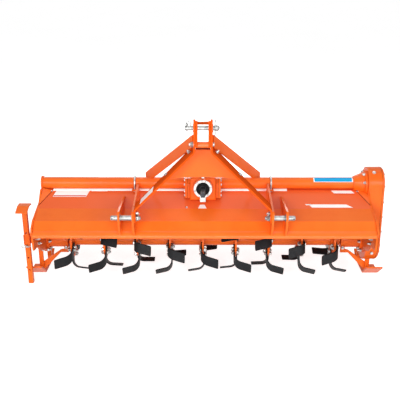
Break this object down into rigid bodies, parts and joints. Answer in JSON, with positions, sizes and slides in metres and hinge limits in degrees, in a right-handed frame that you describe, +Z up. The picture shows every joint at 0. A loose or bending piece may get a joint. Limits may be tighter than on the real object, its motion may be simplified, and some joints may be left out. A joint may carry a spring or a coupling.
{
  "type": "rotavator",
  "caption": "Tractor-mounted rotary tiller: bent-sheet hood over a bladed rotor, beam tube with gearbox and side drive case, A-frame mast, hitch pins, skids, parking leg, trailing board.",
  "frame": {"origin": "bottom centre of the whole machine's box, on the ground under the skids", "axes": "+X towards the side gear case, +Y to the rear (away from the tractor), +Z up"},
  "size_m": [2.304, 1.0017, 1.156],
  "materials": {
    "orange_paint": "semi-gloss orange machinery enamel",
    "blade_black": "satin black enamel on forged blades",
    "zinc_steel": "bright zinc plate",
    "bare_aluminium": "cast and machined",
    "dark_steel": "oiled dark steel",
    "spring_black": "black painted spring steel"
  },
  "bodies": {
    "frame": {"hood": "orange_paint", "hood_knuckles": "orange_paint", "side_plate_left": "orange_paint", "side_plate_right": "orange_paint", "beam_tube_left": "orange_paint", "beam_tube_right": "orange_paint", "center_gearbox": "orange_paint", "pto_seal_housing": "bare_aluminium", "cone_adapter": "orange_paint", "side_gear_case": "orange_paint", "gear_case_cover": "orange_paint", "mast_plate_left": "orange_paint", "mast_plate_right": "orange_paint", "mast_shield": "orange_paint", "mast_cross_plate": "orange_paint", "mast_spacer": "orange_paint", "top_link_pin": "zinc_steel", "hitch_plates_left": "orange_paint", "hitch_plates_right": "orange_paint", "hitch_pin_left": "zinc_steel", "hitch_pin_right": "zinc_steel", "brace_left": "orange_paint", "brace_right": "orange_paint", "tube_clamps": "zinc_steel", "bearing_hub_left": "orange_paint", "bearing_hub_right": "orange_paint", "bearing_cap_left": "orange_paint", "skid_left": "orange_paint", "skid_right": "orange_paint", "hub_guard_left": "orange_paint", "hub_guard_right": "orange_paint", "leg_sleeve": "orange_paint", "hinge_rod": "zinc_steel", "rod_guides": "orange_paint"},
    "rotor": {"rotor_tube": "orange_paint", "blades_left": "blade_black", "blades_right": "blade_black"},
    "input_shaft": {"input_shaft": "dark_steel"},
    "parking_leg": {"parking_leg": "orange_paint", "leg_pin": "zinc_steel"},
    "trailing_board": {"trailing_board": "orange_paint"},
    "hanger_rods": {"hanger_rods": "zinc_steel", "rod_springs": "spring_black"}
  },
  "joints": [
    {"name": "rotor_spin", "type": "hinge", "parent": "frame", "child": "rotor", "pos_m": [0, -0.02144, 0.239], "axis": [1, 0, 0], "continuous": true},
    {"name": "input_spin", "type": "hinge", "parent": "frame", "child": "input_shaft", "pos_m": [-0.01, -0.22144, 0.649], "axis": [0, -1, 0], "continuous": true},
    {"name": "board_lift", "type": "hinge", "parent": "frame", "child": "trailing_board", "pos_m": [0, 0.33056, 0.392], "axis": [1, 0, 0], "range_deg": [0, 40]},
    {"name": "rod_swing", "type": "hinge", "parent": "trailing_board", "child": "hanger_rods", "pos_m": [0, 0.43269, 0.2767], "axis": [1, 0, 0], "range_deg": [-10, 0]},
    {"name": "leg_slide", "type": "slide", "parent": "frame", "child": "parking_leg", "axis": [0, 0, 1], "range_m": [-0.171, 0]}
  ],
  "couplings": [
    {"joint": "input_spin", "follows": "rotor_spin", "ratio": 2.5},
    {"joint": "rod_swing", "follows": "board_lift", "ratio": -0.245}
  ]
}
